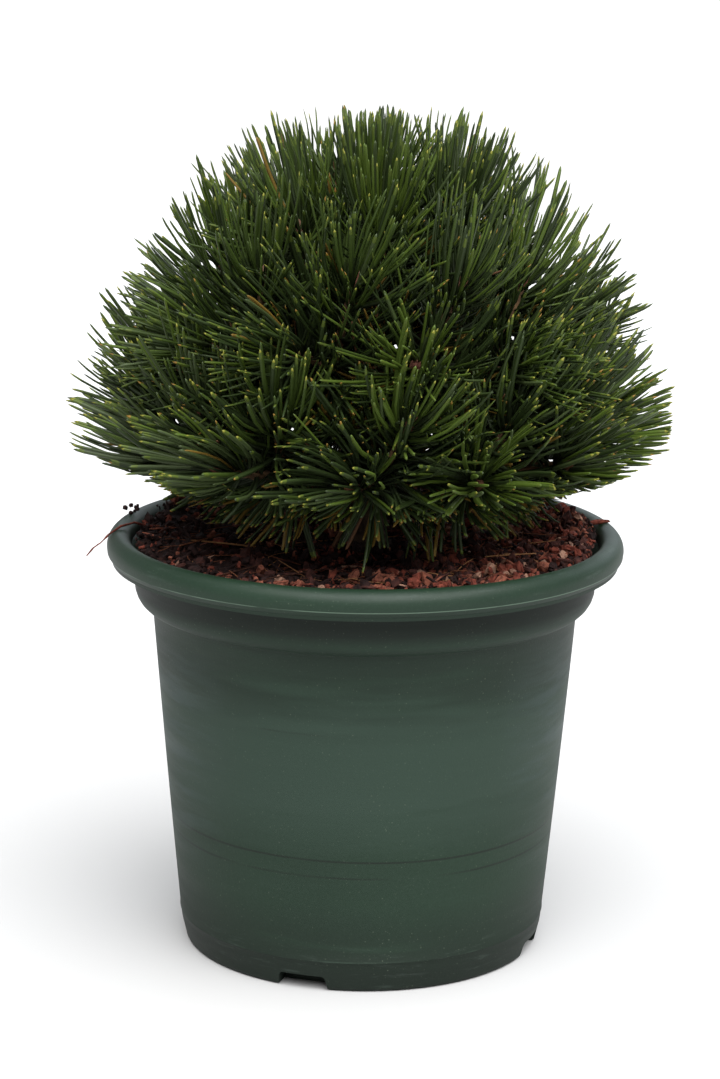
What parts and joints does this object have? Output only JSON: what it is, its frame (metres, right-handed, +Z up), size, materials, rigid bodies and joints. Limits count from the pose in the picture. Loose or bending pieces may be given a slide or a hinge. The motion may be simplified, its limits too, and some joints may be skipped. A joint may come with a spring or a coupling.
{
  "type": "potted dwarf bosnian pine",
  "caption": "Dense dwarf pine with a dome of stiff paired needles, growing in a round tapered green nursery pot with a rolled rim, filled with bark mulch.",
  "frame": {"origin": "middle of the pot's flat underside, on the surface it stands on", "axes": "+Z up along the pot's axis, -Y towards the side the picture shows, +X to its right"},
  "size_m": [0.2943, 0.297, 0.4268],
  "materials": {
    "pot": "satin moulded",
    "soil": "rough bark mulch",
    "bark": "rough bark",
    "needles": "waxy needles"
  },
  "bodies": {
    "root": {"bough_high_01": "bark", "bough_high_02": "bark", "bough_high_03": "bark", "bough_high_04": "bark", "bough_high_05": "bark", "bough_high_06": "bark", "bough_low_01": "bark", "bough_low_02": "bark", "bough_low_03": "bark", "bough_low_04": "bark", "bough_low_05": "bark", "bough_low_06": "bark", "bough_low_07": "bark", "bough_low_08": "bark", "bough_low_09": "bark", "bough_low_10": "bark", "bough_low_11": "bark", "bough_mid_01": "bark", "bough_mid_02": "bark", "bough_mid_03": "bark", "bough_mid_04": "bark", "bough_mid_05": "bark", "bough_mid_06": "bark", "bough_mid_07": "bark", "bough_mid_08": "bark", "bough_mid_09": "bark", "pot": "pot", "shoots_high_01": "needles", "shoots_high_02": "needles", "shoots_high_03": "needles", "shoots_high_04": "needles", "shoots_high_05": "needles", "shoots_high_06": "needles", "shoots_low_01": "needles", "shoots_low_02": "needles", "shoots_low_03": "needles", "shoots_low_04": "needles", "shoots_low_05": "needles", "shoots_low_06": "needles", "shoots_low_07": "needles", "shoots_low_08": "needles", "shoots_low_09": "needles", "shoots_low_10": "needles", "shoots_low_11": "needles", "shoots_mid_01": "needles", "shoots_mid_02": "needles", "shoots_mid_03": "needles", "shoots_mid_04": "needles", "shoots_mid_05": "needles", "shoots_mid_06": "needles", "shoots_mid_07": "needles", "shoots_mid_08": "needles", "shoots_mid_09": "needles", "shoots_top": "needles", "soil": "soil", "trunk": "bark"}
  },
  "joints": []
}
